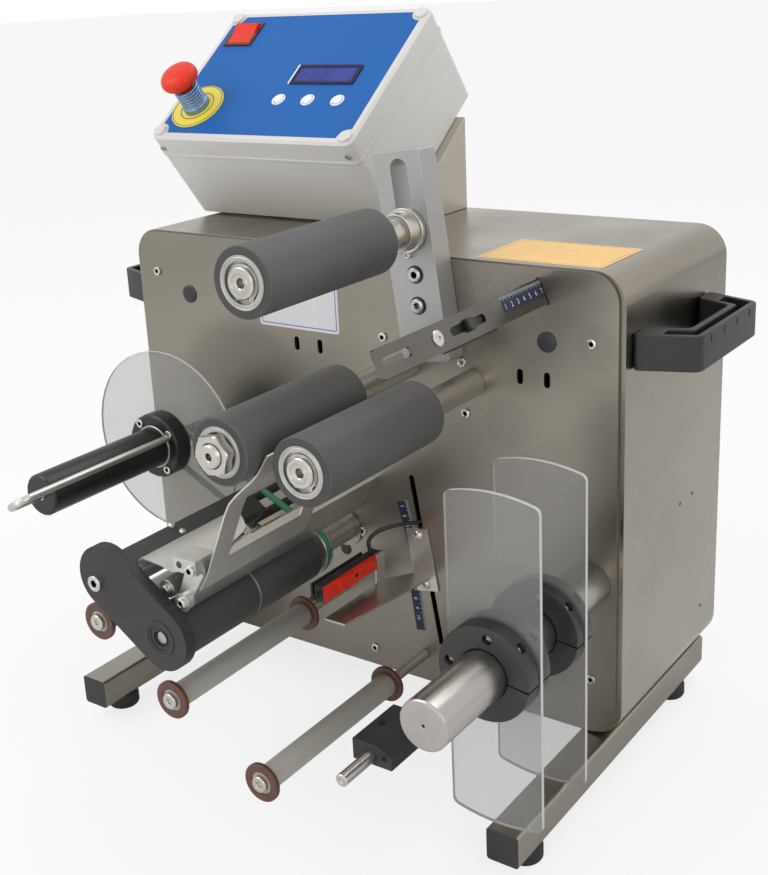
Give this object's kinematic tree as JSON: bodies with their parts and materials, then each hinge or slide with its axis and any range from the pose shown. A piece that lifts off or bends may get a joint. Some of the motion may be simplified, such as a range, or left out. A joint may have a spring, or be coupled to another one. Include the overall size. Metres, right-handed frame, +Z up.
{
  "type": "semi-automatic labeling machine",
  "caption": "Bench labelling machine for round bottles: unwinder, guide rollers, peel plate, driven liner rewinder and a press roller over two cradle rollers, with a sloping control box.",
  "frame": {"origin": "middle of the footprint, level with the undersides of the four feet", "axes": "+X to the operator's right, +Y from the operator towards the housing's back, +Z up"},
  "size_m": [0.6586, 0.5276, 0.6805],
  "materials": {
    "housing_steel": "brushed stainless sheet, warm grey",
    "leg_steel": "brushed stainless square tube with plastic end caps",
    "bright_steel": "bright stainless sheet, satin to polished",
    "shaft_steel": "turned and ground steel",
    "nip_steel": "ground bright steel",
    "bushing_metal": "blue-grey bushing with a yellow plate",
    "column_aluminium": "bead-blasted anodised aluminium",
    "unwinder_aluminium": "turned aluminium",
    "bright_aluminium": "machined aluminium",
    "supply_metal": "pressed sheet case, mostly air inside",
    "motor_metal": "black lacquered motor",
    "black_metal": "black anodised",
    "foot_rubber": "moulded rubber",
    "roller_rubber": "ground dark grey rubber",
    "belt_rubber": "green polyurethane",
    "cable_rubber": "black cable sheath",
    "handle_plastic": "black moulded handle",
    "box_plastic": "light grey moulded box",
    "red_plastic": "red moulded plastic",
    "button_plastic": "pale button caps",
    "board": "green circuit board",
    "tube_plastic": "grey tube with brown rings",
    "black_plastic": "black machined plastic",
    "sensor_plastic": "black sensor body with a red key",
    "display_glass": "dark blue display window in a pale frame",
    "clear_acrylic": "clear cast acrylic"
  },
  "bodies": {
    "frame": {"front_plate": "housing_steel", "housing_cover": "housing_steel", "back_panel": "housing_steel", "foot_left_front": "foot_rubber", "foot_left_back": "foot_rubber", "foot_right_front": "foot_rubber", "foot_right_back": "foot_rubber", "leg_tube_left": "leg_steel", "leg_tube_right": "leg_steel", "handle_left": "handle_plastic", "handle_right": "handle_plastic", "control_box_base": "box_plastic", "control_box_lid": "box_plastic", "display_window": "display_glass", "estop_bushing": "bushing_metal", "controller_board": "board", "box_wedge_bracket": "housing_steel", "press_column": "column_aluminium", "cradle_left_shaft": "shaft_steel", "cradle_right_shaft": "shaft_steel", "unwinder_shaft": "unwinder_aluminium", "drive_belt": "belt_rubber", "head_side_plate": "black_metal", "drive_motor": "motor_metal", "tie_bar": "black_metal", "applicator_beam": "bright_aluminium", "web_guide_sheet": "bright_steel", "peel_plate": "bright_steel", "guide_rod_a": "shaft_steel", "guide_rod_b": "shaft_steel", "guide_rod_c": "shaft_steel", "block_rod": "shaft_steel", "stop_bar_clamp": "black_metal", "power_supply": "supply_metal"},
    "press_carriage": {"press_shaft": "shaft_steel"},
    "press_roller": {"press_roller": "roller_rubber"},
    "cradle_left": {"cradle_left": "roller_rubber"},
    "cradle_right": {"cradle_right": "roller_rubber"},
    "pull_roller": {"pull_roller": "roller_rubber"},
    "rewind_spool": {"rewind_mandrel": "black_metal", "rewind_disc": "clear_acrylic"},
    "rewind_rod": {"rewind_rod": "bright_steel"},
    "nip_roller": {"nip_roller": "nip_steel"},
    "guide_roller_a": {"guide_roller_a": "tube_plastic"},
    "guide_roller_b": {"guide_roller_b": "tube_plastic"},
    "guide_roller_c": {"guide_roller_c": "tube_plastic"},
    "sensor_carriage": {"sensor_bracket": "bright_steel", "label_sensor": "sensor_plastic", "sensor_cable": "cable_rubber"},
    "reel_near": {"roll_plate_near": "clear_acrylic", "clamp_hub_near": "black_metal"},
    "reel_far": {"roll_plate_far": "clear_acrylic", "clamp_hub_far": "black_metal"},
    "stop_bar": {"stop_bar": "bright_steel"},
    "guide_block": {"guide_block": "black_plastic"},
    "estop_head": {"estop_head": "red_plastic"},
    "rocker": {"rocker_switch": "red_plastic"},
    "button_1": {"push_button_1": "button_plastic"},
    "button_2": {"push_button_2": "button_plastic"},
    "button_3": {"push_button_3": "button_plastic"}
  },
  "joints": [
    {"name": "press_slide", "type": "slide", "parent": "frame", "child": "press_carriage", "axis": [-0.1305, 0, 0.9914], "range_m": [0, 0.05]},
    {"name": "press_roller_spin", "type": "hinge", "parent": "press_carriage", "child": "press_roller", "pos_m": [0.08429, -0.1495, 0.50378], "axis": [0, 1, 0], "continuous": true},
    {"name": "cradle_left_spin", "type": "hinge", "parent": "frame", "child": "cradle_left", "pos_m": [0.0609, -0.168, 0.3724], "axis": [0, 1, 0], "continuous": true},
    {"name": "cradle_right_spin", "type": "hinge", "parent": "frame", "child": "cradle_right", "pos_m": [0.1311, -0.1577, 0.3649], "axis": [0, 1, 0], "continuous": true},
    {"name": "pull_roller_spin", "type": "hinge", "parent": "frame", "child": "pull_roller", "pos_m": [-0.019, -0.1, 0.1941], "axis": [0, 1, 0], "continuous": true},
    {"name": "rewind_spin", "type": "hinge", "parent": "frame", "child": "rewind_spool", "pos_m": [-0.189, -0.1, 0.2781], "axis": [0, 1, 0], "continuous": true},
    {"name": "rewind_rod_pull", "type": "slide", "parent": "rewind_spool", "child": "rewind_rod", "axis": [0, -1, 0], "range_m": [0, 0.16]},
    {"name": "nip_roller_spin", "type": "hinge", "parent": "frame", "child": "nip_roller", "pos_m": [-0.027, -0.1768, 0.2291], "axis": [0, 1, 0], "continuous": true},
    {"name": "guide_roller_a_spin", "type": "hinge", "parent": "frame", "child": "guide_roller_a", "pos_m": [-0.1093, -0.1453, 0.18], "axis": [0, 1, 0], "continuous": true},
    {"name": "guide_roller_b_spin", "type": "hinge", "parent": "frame", "child": "guide_roller_b", "pos_m": [-0.028, -0.1453, 0.1256], "axis": [0, 1, 0], "continuous": true},
    {"name": "guide_roller_c_spin", "type": "hinge", "parent": "frame", "child": "guide_roller_c", "pos_m": [0.0681, -0.1453, 0.0765], "axis": [0, 1, 0], "continuous": true},
    {"name": "sensor_slide", "type": "slide", "parent": "frame", "child": "sensor_carriage", "axis": [-0.1616, 0, 0.9869], "range_m": [-0.035, 0.02]},
    {"name": "reel_near_slide", "type": "slide", "parent": "frame", "child": "reel_near", "axis": [0, 1, 0], "range_m": [-0.07, 0.015]},
    {"name": "reel_far_slide", "type": "slide", "parent": "frame", "child": "reel_far", "axis": [0, 1, 0], "range_m": [-0.02, 0.06]},
    {"name": "stop_bar_slide", "type": "slide", "parent": "frame", "child": "stop_bar", "axis": [0, 1, 0], "range_m": [-0.018, 0.02]},
    {"name": "guide_block_slide", "type": "slide", "parent": "frame", "child": "guide_block", "axis": [0, 1, 0], "range_m": [-0.035, 0.14]},
    {"name": "estop_push", "type": "slide", "parent": "frame", "child": "estop_head", "axis": [0, -0.606, 0.7955], "range_m": [-0.004, 0], "stiffness_N_per_m": 2500, "springref_m": 0.001},
    {"name": "rocker_tilt", "type": "hinge", "parent": "frame", "child": "rocker", "pos_m": [-0.2391, 0.16908, 0.65863], "axis": [1, 0, 0], "range_deg": [-18, 0]},
    {"name": "button_1_push", "type": "slide", "parent": "frame", "child": "button_1", "axis": [0, -0.606, 0.7955], "range_m": [-0.001, 0], "stiffness_N_per_m": 1500, "springref_m": 0.0005},
    {"name": "button_2_push", "type": "slide", "parent": "frame", "child": "button_2", "axis": [0, -0.606, 0.7955], "range_m": [-0.001, 0], "stiffness_N_per_m": 1500, "springref_m": 0.0005},
    {"name": "button_3_push", "type": "slide", "parent": "frame", "child": "button_3", "axis": [0, -0.606, 0.7955], "range_m": [-0.001, 0], "stiffness_N_per_m": 1500, "springref_m": 0.0005}
  ],
  "couplings": [
    {"joint": "rewind_spin", "follows": "pull_roller_spin", "ratio": 1.162}
  ]
}
